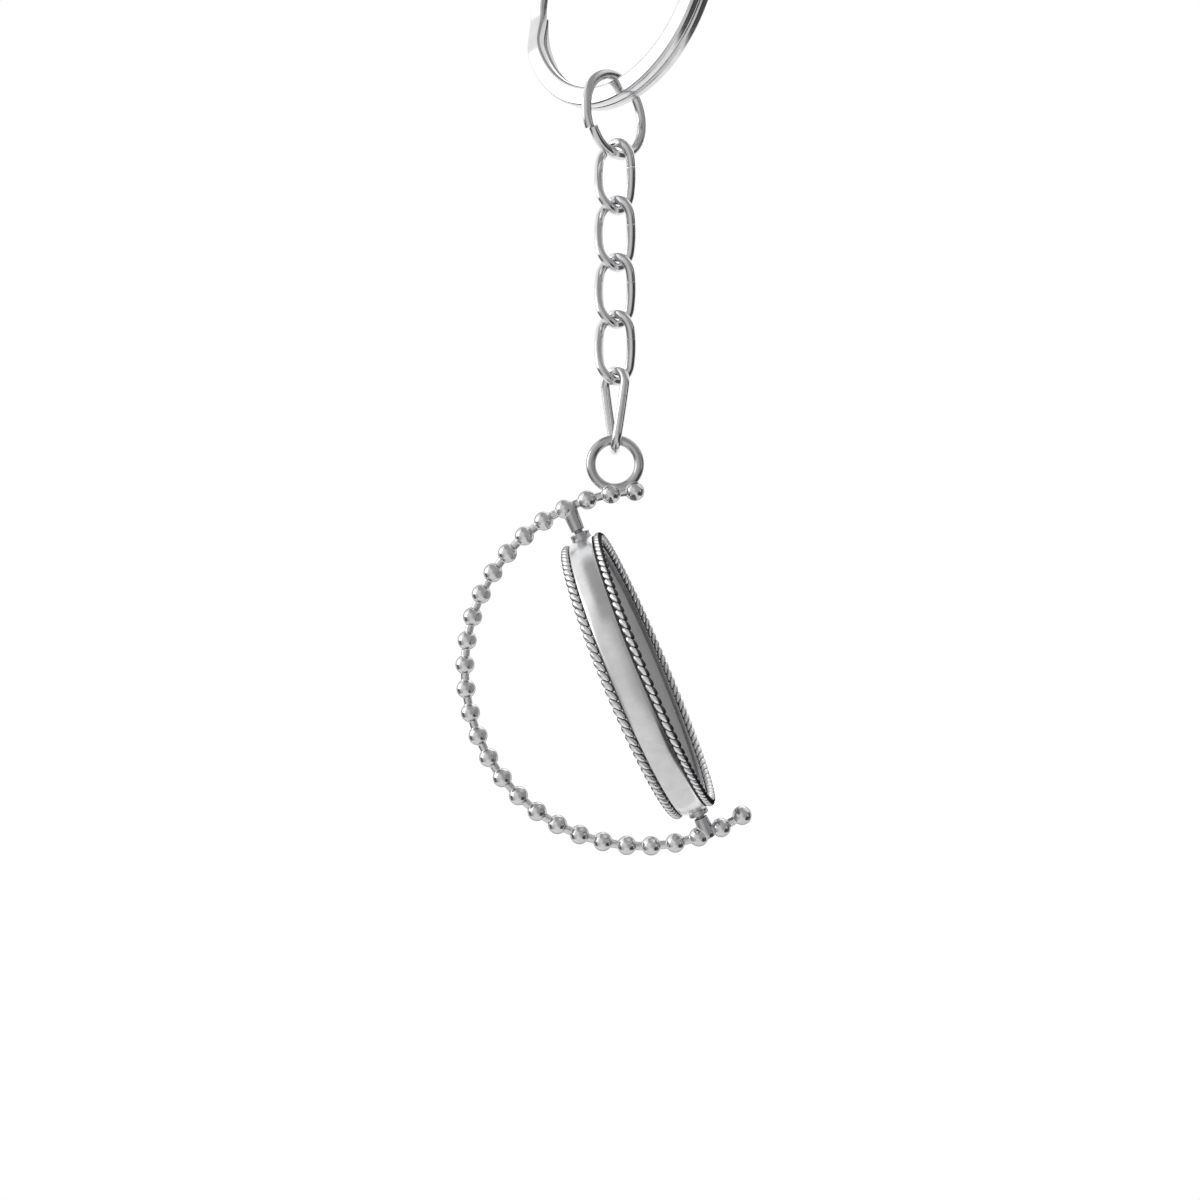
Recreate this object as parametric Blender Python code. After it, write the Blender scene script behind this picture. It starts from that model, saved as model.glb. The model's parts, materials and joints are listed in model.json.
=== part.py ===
"""Rotating disc keychain: a split ring, a short twisted chain and a beaded crescent that carries a disc.

Metres, +Z up. The origin is the point of the split ring's inner edge that hangs on a hook.
The chain hangs straight down from it, and the disc spins on two pins inside the crescent.
"""

import math

import bmesh
import bpy
from mathutils import Matrix, Vector

# Split ring: two flat turns of spring wire
RING_OUTER_DIAMETER = 0.0254
RING_BAND_DEPTH = 0.00195
RING_TURN_WIDTH = 0.00105
RING_TURN_GAP = 0.00006
RING_EDGE_ROUND = 0.00035
RING_HEADING = math.radians(-44)
RING_JOG_SPAN = math.radians(24)
RING_JOG_PLACE = math.radians(191)
RING_END_GAP = math.radians(2)
RING_STEPS = 40

# Connector: a round jump ring that joins the chain to the split ring
CONNECTOR_OUTER_DIAMETER = 0.0088
CONNECTOR_WIRE = 0.0010
CONNECTOR_HEADING = math.radians(45)
CONNECTOR_CUT_PLACE = math.radians(212)
CONNECTOR_CUT_GAP = 0.00007
CONNECTOR_CUT_OFFSET = 0.00045
# Odd power of the way along the wire, so that only its ends leave the ring's plane
CONNECTOR_CUT_POWER = 5
CONNECTOR_HANG_GAP = 0.00005
CONNECTOR_STEPS = 28

# Chain: alike links with a quarter turn of twist, then a longer one with half of it
LINK_COUNT = 4
LINK_LENGTH = 0.0077
LINK_WIDTH = 0.0042
LINK_WIRE = 0.00095
LINK_SEAM = 0.00003
LINK_PLAY = 0.0001
LINK_TOP_HEADING = math.radians(-45)
LINK_TWIST = math.radians(90)
LAST_LINK_LENGTH = 0.0089
LAST_LINK_TWIST = math.radians(-45)
LINK_BEND_STEPS = 8
LINK_SIDE_STEPS = 4

# Crescent frame: a beaded arc with a hanging loop and two pivot bosses
LOOP_OUTER_DIAMETER = 0.0058
LOOP_WIRE = 0.00096
LOOP_PLACE = math.radians(97.6)
LOOP_STEPS = 24
ARC_CLEARANCE = 0.00304
ARC_FIRST_BEAD = math.radians(92.4)
ARC_LAST_BEAD = math.radians(304.2)
BEAD_DIAMETER = 0.0019
NECK_DIAMETER = 0.00084
NECK_LENGTH = 0.00053
BEAD_RING_SHARES = (0.24, 0.74)
BEAD_TIP_SHARE = 0.97
FRAME_BOSS_ROOT_DIAMETER = 0.0016
FRAME_BOSS_TIP_DIAMETER = 0.00135
# Its domed root beyond the arc, as (share of the root radius, share of full width)
FRAME_BOSS_DOME_SHARES = ((0.7, 0.5), (0.35, 0.85))

# Pivots: the axis leans and carries the disc a little below the arc's centre
PIVOT_LEAN = math.radians(23.1)
PIVOT_SETBACK = 0.00049
DISC_DROP = 0.00038
DISC_TURN = math.radians(5.5)
PIN_DIAMETER = 0.0009
PIN_PLAY = 0.00006
PIN_END_GAP = 0.0001
PIN_SHOWN = 0.00030
PIN_SEAT_DEPTH = 0.00075
DISC_BOSS_DIAMETER = 0.0020
DISC_BOSS_HEIGHT = 0.0006

# Disc: a round insert in a tray on each face of a rim, with rope borders
INSERT_DIAMETER = 0.0251
INSERT_THICKNESS = 0.0005
INSERT_EDGE = 0.00008
TRAY_PLAY = 0.00025
TRAY_LIP = 0.00092
RIM_WALL = 0.0019
BAND_WIDTH = 0.00244
BAND_EDGE = 0.00012
RIM_WIDTH = 0.0029
RIM_EDGE = 0.00020
WEB_THICKNESS = 0.0006
PIN_FLOOR = 0.0005
ROPE_DIAMETER = 0.00088
ROPE_LAY = 0.0009
ROPE_VALLEY_SHARE = 0.74
ROPE_SLANT = math.radians(42)
ROPE_SEAT_GAP = 0.00005
ROPE_SIDES = 6
PAD_MARGIN = 0.00025
PAD_THICKNESS = 0.00015
STACK_GAP = 0.00005
DISC_STEPS = 64

# Sizes that follow the insert: the tray seats it, the band surrounds the tray and the arc goes round the band
TRAY_DIAMETER = INSERT_DIAMETER + 2 * TRAY_PLAY
BAND_DIAMETER = TRAY_DIAMETER + 2 * RIM_WALL
PAD_DIAMETER = INSERT_DIAMETER - 2 * PAD_MARGIN
ARC_RADIUS = BAND_DIAMETER / 2 + ARC_CLEARANCE

# Cutters run past the faces that they cut by this much
OVERRUN = 0.0003
WELD = 1e-7
SMOOTH_ANGLE = math.radians(40)
UP = Vector((0, 0, 1))

# Finishes: colour, roughness and metallic value
FINISHES = {
    "nickel_plated_steel": ((0.72, 0.72, 0.73), 0.16, 1.0),
    "plated_casting": ((0.70, 0.70, 0.71), 0.22, 1.0),
    "satin_plated_casting": ((0.66, 0.66, 0.67), 0.34, 1.0),
    "steel_pin": ((0.55, 0.55, 0.57), 0.28, 1.0),
    "bare_aluminium": ((0.60, 0.61, 0.62), 0.38, 1.0),
    "adhesive": ((0.82, 0.82, 0.78), 0.80, 0.0),
}


def clear_scene():
    for obj in list(bpy.data.objects):
        bpy.data.objects.remove(obj, do_unlink=True)


def finish(name):
    """The named finish as a material, made the first time that it is asked for."""
    material = bpy.data.materials.get(name)
    if material:
        return material
    colour, roughness, metallic = FINISHES[name]
    material = bpy.data.materials.new(name)
    material.use_nodes = True
    shader = material.node_tree.nodes["Principled BSDF"]
    shader.inputs["Base Color"].default_value = (*colour, 1)
    shader.inputs["Roughness"].default_value = roughness
    shader.inputs["Metallic"].default_value = metallic
    return material


def upright(heading):
    """Axes of a flat piece that stands on edge: X along the heading, Y up, Z out of its face."""
    along = Vector((math.cos(heading), math.sin(heading), 0))
    return Matrix((along, UP, along.cross(UP))).transposed()


def polar(radius, angle):
    return Vector((radius * math.cos(angle), radius * math.sin(angle), 0))


def joint_empty(name, place, parent=None, axes=None):
    """An empty on a joint's axis. place is in the parent's frame."""
    empty = bpy.data.objects.new(name, None)
    empty.empty_display_size = LINK_WIDTH
    bpy.context.scene.collection.objects.link(empty)
    empty.parent = parent
    empty.matrix_basis = Matrix.Translation(place) @ (axes or Matrix.Identity(3)).to_4x4()
    return empty


def solid(name, bm, finish_name, parent, axes=None):
    """An object from bmesh data in the parent's frame, shaded smooth except at real edges."""
    bmesh.ops.remove_doubles(bm, verts=bm.verts, dist=WELD)
    bmesh.ops.recalc_face_normals(bm, faces=bm.faces)
    mesh = bpy.data.meshes.new(name)
    bm.to_mesh(mesh)
    bm.free()
    mesh.shade_smooth()
    mesh.set_sharp_from_angle(angle=SMOOTH_ANGLE)
    mesh.materials.append(finish(finish_name))
    obj = bpy.data.objects.new(name, mesh)
    bpy.context.scene.collection.objects.link(obj)
    obj.parent = parent
    obj.matrix_basis = (axes or Matrix.Identity(3)).to_4x4()
    return obj


def skin(rings, closed):
    """A surface over rings of points that have the same count. Open skins get flat ends."""
    bm = bmesh.new()
    loops = [[bm.verts.new(point) for point in ring] for ring in rings]
    pairs = list(zip(loops, loops[1:]))
    if closed:
        pairs.append((loops[-1], loops[0]))
    else:
        bm.faces.new(loops[0])
        bm.faces.new(loops[-1])
    for near, far in pairs:
        for i, start in enumerate(near):
            j = (i + 1) % len(near)
            bm.faces.new((start, near[j], far[j], far[i]))
    return bm


def wire(points, radius, shares=None, closed=False, resolution=2):
    """A round wire through the points as bmesh data. shares scale its radius point by point."""
    curve = bpy.data.curves.new("wire", "CURVE")
    curve.dimensions = "3D"
    curve.bevel_depth = radius
    curve.bevel_resolution = resolution
    curve.use_fill_caps = not closed
    spline = curve.splines.new("POLY")
    spline.points.add(len(points) - 1)
    spline.use_cyclic_u = closed
    for i, place in enumerate(points):
        spline.points[i].co = (*place, 1)
        spline.points[i].radius = shares[i] if shares else 1
    guide = bpy.data.objects.new("wire", curve)
    bpy.context.scene.collection.objects.link(guide)
    graph = bpy.context.evaluated_depsgraph_get()
    mesh = bpy.data.meshes.new_from_object(guide.evaluated_get(graph))
    bm = bmesh.new()
    bm.from_mesh(mesh)
    bmesh.ops.remove_doubles(bm, verts=bm.verts, dist=WELD)
    bpy.data.meshes.remove(mesh)
    bpy.data.objects.remove(guide)
    bpy.data.curves.remove(curve)
    return bm


def lathe(profile):
    """A solid of revolution about Z from points of (radius, height)."""
    bm = bmesh.new()
    verts = [bm.verts.new((radius, 0, height)) for radius, height in profile]
    edges = [bm.edges.new(pair) for pair in zip(verts, verts[1:])]
    if profile[0][0] > 0:
        edges.append(bm.edges.new((verts[-1], verts[0])))
    bmesh.ops.spin(
        bm,
        geom=verts + edges,
        cent=(0, 0, 0),
        axis=UP,
        angle=math.tau,
        steps=DISC_STEPS,
        use_merge=True,
    )
    return bm


def combine(base, bm, operation):
    """Joins a shape to the base object, or cuts it out, with a Boolean that keeps its helper hidden."""
    name = f"{base.name}_{operation.lower()}_{len(base.modifiers)}"
    helper = solid(name, bm, base.active_material.name, base.parent, base.matrix_basis.to_3x3())
    helper.hide_render = True
    helper.display_type = "WIRE"
    modifier = base.modifiers.new(operation.title(), "BOOLEAN")
    modifier.operation = operation
    modifier.solver = "EXACT"
    modifier.object = helper


def ring_radii():
    outer = RING_OUTER_DIAMETER / 2
    return outer - RING_BAND_DEPTH, outer - RING_BAND_DEPTH / 2


def ring_corner_reach():
    """How far the pair of turns reaches from the middle of its section."""
    half_depth = RING_BAND_DEPTH / 2
    half_width = RING_TURN_WIDTH + RING_TURN_GAP / 2
    core = math.hypot(half_depth - RING_EDGE_ROUND, half_width - RING_EDGE_ROUND)
    return core + RING_EDGE_ROUND


def split_ring(parent):
    """Two turns side by side. One short jog carries the wire from the rear turn to the front one."""
    inner, middle = ring_radii()
    side = (RING_TURN_WIDTH + RING_TURN_GAP) / 2
    depth, width, cut = RING_BAND_DEPTH / 2, RING_TURN_WIDTH / 2, RING_EDGE_ROUND
    section = [(depth, width - cut), (depth - cut, width), (cut - depth, width), (-depth, width - cut)]
    section += [(-r, -y) for r, y in section]
    sweep = 2 * math.tau - RING_JOG_SPAN - 2 * RING_END_GAP
    start = RING_JOG_SPAN / 2 + RING_END_GAP
    count = 2 * RING_STEPS
    rings = []
    for step in range(count + 1):
        angle = start + sweep * step / count
        along = (angle - math.tau) / RING_JOG_SPAN
        shift = side * math.sin(math.pi * max(-1 / 2, min(1 / 2, along)))
        place = polar(1, angle + RING_JOG_PLACE)
        rings.append([place * (middle + r) + UP * (y + shift) for r, y in section])
    centre = Vector((0, 0, -inner))
    axes = upright(RING_HEADING)
    bm = skin(rings, closed=False)
    bmesh.ops.transform(bm, matrix=Matrix.Translation(axes.inverted() @ centre), verts=bm.verts)
    return solid("split_ring", bm, "nickel_plated_steel", parent, axes)


def connector_ring(parent, centre_height):
    """A jump ring of round wire, cut through, with the cut ends a little out of line."""
    middle = (CONNECTOR_OUTER_DIAMETER - CONNECTOR_WIRE) / 2
    gap = CONNECTOR_CUT_GAP / middle
    points = []
    for step in range(CONNECTOR_STEPS + 1):
        share = step / CONNECTOR_STEPS
        place = polar(middle, CONNECTOR_CUT_PLACE + gap / 2 + (math.tau - gap) * share)
        bend = (1 - 2 * share) ** CONNECTOR_CUT_POWER
        points.append(place + UP * CONNECTOR_CUT_OFFSET / 2 * bend)
    bm = wire(points, CONNECTOR_WIRE / 2)
    axes = upright(CONNECTOR_HEADING)
    bmesh.ops.transform(bm, matrix=Matrix.Translation(Vector((0, centre_height, 0))), verts=bm.verts)
    return solid("connector_ring", bm, "nickel_plated_steel", parent, axes)


def link_outline(length):
    """The bend and side points of a link as (offset, height below its top), from its seam round to it."""
    half_width = (LINK_WIDTH - LINK_WIRE) / 2
    side = length - LINK_WIRE - 2 * half_width
    points = [(half_width, half_width + side * i / LINK_SIDE_STEPS) for i in range(LINK_SIDE_STEPS)]
    for i in range(LINK_BEND_STEPS + 1):
        turn = polar(half_width, -math.pi * i / LINK_BEND_STEPS)
        points.append((turn.x, half_width + side - turn.y))
    points += [(-x, length - LINK_WIRE - drop) for x, drop in points[1:]]
    seam = (half_width, half_width + side / LINK_SIDE_STEPS)
    first = (half_width, seam[1] + LINK_SEAM / 2)
    last = (half_width, seam[1] - LINK_SEAM / 2)
    return [first] + points[2:] + [last]


def chain_link(name, parent, length, twist, top):
    """One link of round wire, twisted about Z as it goes down. top is its upper wire's middle."""
    drop_total = length - LINK_WIRE
    points = []
    for offset, drop in link_outline(length):
        heading = LINK_TOP_HEADING + twist * drop / drop_total
        points.append(polar(offset, heading) + Vector((0, 0, top - drop)))
    return solid(name, wire(points, LINK_WIRE / 2), "nickel_plated_steel", parent)


def bead_string():
    """Points along the arc and the shares of the bead radius there: spheres joined by short necks."""
    radius = BEAD_DIAMETER / 2
    span = ARC_LAST_BEAD - ARC_FIRST_BEAD
    gaps = round(ARC_RADIUS * span / (BEAD_DIAMETER + NECK_LENGTH))
    neck = NECK_DIAMETER / BEAD_DIAMETER
    reach = radius * math.sqrt(1 - neck**2)
    places = [share * reach for share in BEAD_RING_SHARES] + [reach]
    shares = [math.sqrt(1 - (place / radius) ** 2) for place in places]
    tip = BEAD_TIP_SHARE * radius
    tip_share = math.sqrt(1 - BEAD_TIP_SHARE**2)
    points, sizes = [], []
    for bead in range(gaps + 1):
        angle = ARC_FIRST_BEAD + span * bead / gaps
        before, after = list(zip(places, shares))[::-1], list(zip(places, shares))
        if bead == 0:
            before.insert(0, (tip, tip_share))
        if bead == gaps:
            after.append((tip, tip_share))
        for place, share in [(-place, share) for place, share in before] + after:
            points.append(polar(ARC_RADIUS, angle + place / ARC_RADIUS))
            sizes.append(share)
    return points, sizes


def frame_places():
    """Middles of the loop, the arc and the disc in the frame's own plane, from the swing axis."""
    loop_middle = (LOOP_OUTER_DIAMETER - LOOP_WIRE) / 2
    loop = Vector((0, (LINK_WIRE + LOOP_WIRE) / 2 + LINK_PLAY - loop_middle, 0))
    arc = loop - polar(ARC_RADIUS + LOOP_OUTER_DIAMETER / 2, LOOP_PLACE)
    pivot_up = polar(1, math.pi / 2 + PIVOT_LEAN)
    disc = arc - pivot_up * DISC_DROP - polar(PIVOT_SETBACK, PIVOT_LEAN)
    return loop, arc, disc, pivot_up


def pivot_reaches():
    """How far above and below the disc's middle the pivot axis meets the arc of beads."""
    half_chord = math.sqrt(ARC_RADIUS**2 - PIVOT_SETBACK**2)
    return half_chord + DISC_DROP, half_chord - DISC_DROP


def boss_face():
    """Distance from the disc's middle to the outer face of its pivot bosses."""
    return BAND_DIAMETER / 2 + DISC_BOSS_HEIGHT


def crescent_frame(parent):
    """The cast crescent: beaded arc, hanging loop, and a tapered boss with a blind hole at each pivot."""
    loop, arc, disc, pivot_up = frame_places()
    axes = upright(0)
    points, shares = bead_string()
    bm = wire([arc + point for point in points], BEAD_DIAMETER / 2, shares)
    frame = solid("crescent_frame", bm, "plated_casting", parent, axes)
    loop_middle = (LOOP_OUTER_DIAMETER - LOOP_WIRE) / 2
    turn = math.tau / LOOP_STEPS
    hoop = [loop + polar(loop_middle, turn * step) for step in range(LOOP_STEPS)]
    combine(frame, wire(hoop, LOOP_WIRE / 2, closed=True), "UNION")
    root, tip = FRAME_BOSS_ROOT_DIAMETER / 2, FRAME_BOSS_TIP_DIAMETER / 2
    bosses, holes = bmesh.new(), bmesh.new()
    for way, reach in zip((1, -1), pivot_reaches()):
        end = boss_face() + PIN_SHOWN
        stations = [(reach + root * share, width) for share, width in FRAME_BOSS_DOME_SHARES]
        stations += [(reach, 1), (end, tip / root)]
        middle = [disc + pivot_up * way * place for place, _ in stations]
        add_shape(bosses, wire(middle, root, [share for _, share in stations], resolution=4))
        hole = [disc + pivot_up * way * place for place in (end - OVERRUN, end + PIN_SEAT_DEPTH)]
        add_shape(holes, wire(hole, PIN_DIAMETER / 2 + PIN_PLAY, resolution=4))
    combine(frame, bosses, "UNION")
    combine(frame, holes, "DIFFERENCE")
    return frame


def add_shape(target, bm):
    """Copies one bmesh into another and frees it."""
    mesh = bpy.data.meshes.new("shape")
    bm.to_mesh(mesh)
    bm.free()
    target.from_mesh(mesh)
    bpy.data.meshes.remove(mesh)


def pivot_pin(name, parent, way):
    """A plain steel pin, held in the frame's boss and free in the disc's."""
    _, _, disc, pivot_up = frame_places()
    start = TRAY_DIAMETER / 2 + PIN_FLOOR + PIN_END_GAP
    end = boss_face() + PIN_SHOWN + PIN_SEAT_DEPTH - PIN_END_GAP
    points = [disc + pivot_up * way * place for place in (start, end)]
    return solid(name, wire(points, PIN_DIAMETER / 2, resolution=4), "steel_pin", parent, upright(0))


def rope_seat():
    """Radius and height of the rope's middle: in the corner between the band and the tray's lip."""
    rope = ROPE_DIAMETER / 2
    lip_radius = TRAY_DIAMETER / 2 + TRAY_LIP
    return lip_radius + ROPE_SEAT_GAP + rope, BAND_WIDTH / 2 + ROPE_SEAT_GAP + rope


def disc_rim(parent):
    """The cast rim: smooth band, a lip and a tray on each face, a web between, and two pivot bosses."""
    band, half_band = BAND_DIAMETER / 2, BAND_WIDTH / 2
    tray, half_rim, half_web = TRAY_DIAMETER / 2, RIM_WIDTH / 2, WEB_THICKNESS / 2
    lip = tray + TRAY_LIP
    upper = [
        (0, half_web),
        (tray, half_web),
        (tray, half_rim - RIM_EDGE),
        (tray + RIM_EDGE, half_rim),
        (lip - RIM_EDGE, half_rim),
        (lip, half_rim - RIM_EDGE),
        (lip, half_band),
        (band - BAND_EDGE, half_band),
        (band, half_band - BAND_EDGE),
    ]
    lower = [(radius, -height) for radius, height in reversed(upper)]
    rim = solid("disc_rim", lathe(upper + lower), "satin_plated_casting", parent)
    bosses, holes = bmesh.new(), bmesh.new()
    for way in (1, -1):
        out = Vector((way, 0, 0))
        body = [out * place for place in (band - OVERRUN, boss_face())]
        add_shape(bosses, wire(body, DISC_BOSS_DIAMETER / 2, resolution=6))
        hole = [out * place for place in (tray + PIN_FLOOR, boss_face() + OVERRUN)]
        add_shape(holes, wire(hole, PIN_DIAMETER / 2 + PIN_PLAY, resolution=4))
    combine(rim, bosses, "UNION")
    combine(rim, holes, "DIFFERENCE")
    return rim


def rope_border(name, parent, side):
    """A rope of slanted lobes in the corner of the rim on one face. Both ropes lean the same way."""
    radius, height = rope_seat()
    lobes = round(math.tau * radius / ROPE_LAY)
    rings = []
    for step in range(2 * lobes):
        swell = ROPE_DIAMETER / 2 * (ROPE_VALLEY_SHARE if step % 2 else 1)
        ring = []
        for corner in range(ROPE_SIDES):
            across = math.tau * (corner + 1 / 2) / ROPE_SIDES
            rise = swell * math.sin(across)
            lean = math.tan(ROPE_SLANT) * side * rise / radius
            place = polar(radius + swell * math.cos(across), math.pi * step / lobes + lean)
            ring.append(place + UP * side * (height + rise))
        rings.append(ring)
    return solid(name, skin(rings, closed=True), "plated_casting", parent)


def round_plate(name, finish_name, parent, side, start, sizes):
    """A flat round plate over one face of the web. sizes holds its diameter, thickness and edge chamfer."""
    diameter, thickness, edge = sizes
    radius = diameter / 2
    profile = [(0, start), (radius, start), (radius, start + thickness - edge)]
    if edge:
        profile.append((radius - edge, start + thickness))
    profile.append((0, start + thickness))
    bm = lathe([(place, side * height) for place, height in profile])
    return solid(name, bm, finish_name, parent)


def disc_inserts(parent):
    """An adhesive pad and a bare round insert in each tray."""
    pad_start = WEB_THICKNESS / 2 + STACK_GAP
    insert_start = pad_start + PAD_THICKNESS + STACK_GAP
    for word, side in (("front", 1), ("rear", -1)):
        pad, insert = f"{word}_adhesive_pad", f"{word}_insert"
        round_plate(pad, "adhesive", parent, side, pad_start, (PAD_DIAMETER, PAD_THICKNESS, 0))
        sizes = (INSERT_DIAMETER, INSERT_THICKNESS, INSERT_EDGE)
        round_plate(insert, "bare_aluminium", parent, side, insert_start, sizes)


def build():
    clear_scene()
    ring_inner, ring_middle = ring_radii()
    ring_joint = joint_empty("key_ring", Vector())
    split_ring(ring_joint)

    connector_middle = (CONNECTOR_OUTER_DIAMETER - CONNECTOR_WIRE) / 2
    hang = ring_corner_reach() + CONNECTOR_HANG_GAP + CONNECTOR_WIRE / 2
    joint = joint_empty("connector_swing", Vector((0, 0, -ring_inner - ring_middle)), ring_joint)
    connector_ring(joint, hang - connector_middle)

    parent_bottom = hang - 2 * connector_middle
    parent_wire = CONNECTOR_WIRE
    for index in range(1, LINK_COUNT + 2):
        last = index > LINK_COUNT
        length = LAST_LINK_LENGTH if last else LINK_LENGTH
        twist = LAST_LINK_TWIST if last else LINK_TWIST
        name = "pendant_link" if last else f"chain_link_{index}"
        spacing = (parent_wire + LINK_WIRE) / 2 + LINK_PLAY
        # Odd links turn round the wire they hang on, even ones roll on their own top bend
        rise = spacing if index % 2 == 0 else 0
        joint = joint_empty(f"{name}_swing", Vector((0, 0, parent_bottom + rise)), joint)
        top = spacing - rise
        chain_link(name, joint, length, twist, top)
        parent_bottom = top - (length - LINK_WIRE)
        parent_wire = LINK_WIRE

    joint = joint_empty("frame_swing", Vector((0, 0, parent_bottom)), joint)
    crescent_frame(joint)
    pivot_pin("upper_pivot_pin", joint, 1)
    pivot_pin("lower_pivot_pin", joint, -1)

    _, _, disc, pivot_up = frame_places()
    standing = upright(0)
    face = polar(math.cos(DISC_TURN), PIVOT_LEAN) + UP * math.sin(DISC_TURN)
    axes = standing @ Matrix((pivot_up, face.cross(pivot_up), face)).transposed()
    disc_joint = joint_empty("disc_spin", standing @ disc, joint, axes)
    disc_rim(disc_joint)
    rope_border("front_rope_border", disc_joint, 1)
    rope_border("rear_rope_border", disc_joint, -1)
    disc_inserts(disc_joint)


build()
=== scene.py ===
"""Looks of the rotating disc keychain: plated wire, a beaded casting and a satin disc with rope borders.

The file is laid out as an add-on and is run as a script. Lengths are metres, and +Z is up.
"""

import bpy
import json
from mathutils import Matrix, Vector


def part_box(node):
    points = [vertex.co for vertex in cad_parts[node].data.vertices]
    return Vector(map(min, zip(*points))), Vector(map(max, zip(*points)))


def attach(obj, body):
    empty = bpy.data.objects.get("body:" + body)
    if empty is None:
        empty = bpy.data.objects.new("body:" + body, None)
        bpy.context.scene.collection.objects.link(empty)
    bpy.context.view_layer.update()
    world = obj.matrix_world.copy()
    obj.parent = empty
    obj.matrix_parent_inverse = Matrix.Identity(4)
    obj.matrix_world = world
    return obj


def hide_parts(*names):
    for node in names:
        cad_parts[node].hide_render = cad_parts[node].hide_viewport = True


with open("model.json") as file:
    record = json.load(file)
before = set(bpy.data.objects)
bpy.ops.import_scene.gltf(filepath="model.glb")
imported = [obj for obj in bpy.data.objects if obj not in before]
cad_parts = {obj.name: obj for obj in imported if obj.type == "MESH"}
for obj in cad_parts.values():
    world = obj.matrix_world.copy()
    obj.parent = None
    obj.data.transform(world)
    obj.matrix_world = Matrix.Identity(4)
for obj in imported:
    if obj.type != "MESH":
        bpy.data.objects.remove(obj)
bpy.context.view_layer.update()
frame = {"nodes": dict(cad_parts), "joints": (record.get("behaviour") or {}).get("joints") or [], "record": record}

import json
import math

import bmesh
import bpy
from bpy.props import FloatProperty, FloatVectorProperty, IntProperty, PointerProperty
from mathutils import Matrix, Vector

bl_info = {
    "name": "Rotating disc keychain",
    "version": (1, 0, 0),
    "blender": (4, 5, 0),
    "location": "View3D > Sidebar > Keychain",
    "description": "Dresses the keychain's frame with plated metal pieces",
    "category": "Object",
}

UP = Vector((0, 0, 1))
TO_METRES = 0.001
# Brightness of the studio round the object, where 1 is the white backdrop
FRONT_LEVEL = 0.74
HORIZON_LEVEL = 0.66
CANOPY_LEVEL = 0.36
CORNER_LEVEL = 0.04
WALL_LEVEL = 0.08
WINDOW_LEVEL = 0.85
# Shares of the front's light that stays on the right, and of the dark corner that shows on the left
RIGHT_SHARE = 0.50
LEFT_CORNER_SHARE = 0.55
# Places in the studio, as parts of a unit direction: X to the right, Y away from the camera, Z up
HORIZON_DROP = 0.05
WALL_MIDDLE = 0.12
WINDOW_DIRECTION = (0.62, 0.31, 0.72)
CORNER_DIRECTION = (0.80, -0.40, -0.45)
# Soft edges of the studio's parts: where each begins and where it ends, in the same units
HORIZON_EDGE = (0.12, 0.34)
DUSK_SIDE_EDGE = (-0.20, 0.50)
DUSK_LOW_EDGE = (-0.80, -0.30)
FAR_SIDE_EDGE = (-0.75, -0.55)
BACKDROP_EDGE = (-0.48, -0.30)
REAR_EDGE = (0.35, 0.60)
CANOPY_LOW_EDGE = (0.14, 0.34)
CANOPY_SIDE_EDGE = (-0.15, -0.10)
CANOPY_FRONT_EDGE = (-0.72, -0.54)
CORNER_EDGE = (0.87, 0.96)
WALL_SIDE_EDGE = (0.68, 0.82)
WALL_DEPTH_EDGE = (0.25, 0.45)
WALL_TOP_EDGE = (0.03, 0.13)
WINDOW_EDGE = (0.84, 0.92)
MIDDLE_EDGE = (-0.1, 0.1)
# Repeats to the metre of every metal's blotches and haze, and the part of the noise that counts
BLOTCH_SCALE = 900.0
BLOTCH_RANGE = (0.35, 0.65)
HAZE_SCALE = 2600.0
HAZE_RANGE = (0.3, 0.7)
# Depth at which the painted shade in a groove begins and at which it is darkest
GROOVE_SHADE_EDGE = (0.50, 0.95)
# Mirror strength at low angles on cast pieces, as a share, which keeps their outline on the white backdrop
CAST_GLANCE = 0.2
# Rounding of the rim's lip and of the band's corners
LIP_EDGE = 0.00022
BAND_CORNER = 0.00012
# Odd power of the way along the connector's wire, so that only its ends leave the ring's plane
CUT_POWER = 5
# Power that rounds the strands of the rope: the less, the fuller the strand
STRAND_POWER = 0.6
# Strength of the painted shade on the strands' flanks on each rope: towards the band, and away from it
ROPE_FLANK_SHADES = {"front": (0.85, 1.8), "rear": (0.75, 0.9)}
# Cosine of the turn round a rope at which the painted shade on the flank away from the band ends
FLANK_SHADE_END = -0.1
# Reach of a casting's skin from its middle line, as a share of its thickness
FITTING_SKIN_SHARE = 0.6
BEAD_SKIN_SHARE = 0.56
JOINTS = {joint["name"]: joint for joint in frame["joints"]}
MOUNTS = {mount["name"]: mount for mount in frame["record"]["mounts"]}
DISC_FACE = tuple(MOUNTS["front_insert_face"]["axis"])


def length(name, default, description):
    """A length property in metres."""
    return FloatProperty(
        name=name, description=description, default=default, min=0, precision=5,
        unit="LENGTH", subtype="DISTANCE"
    )


def angle(name, degrees, description):
    """An angle property, stored in radians."""
    return FloatProperty(
        name=name, description=description, default=math.radians(degrees), unit="ROTATION", subtype="ANGLE"
    )


def colour(name, default, description):
    """A linear colour."""
    return FloatVectorProperty(
        name=name, description=description, default=default, min=0, max=1, size=3, subtype="COLOR"
    )


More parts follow.
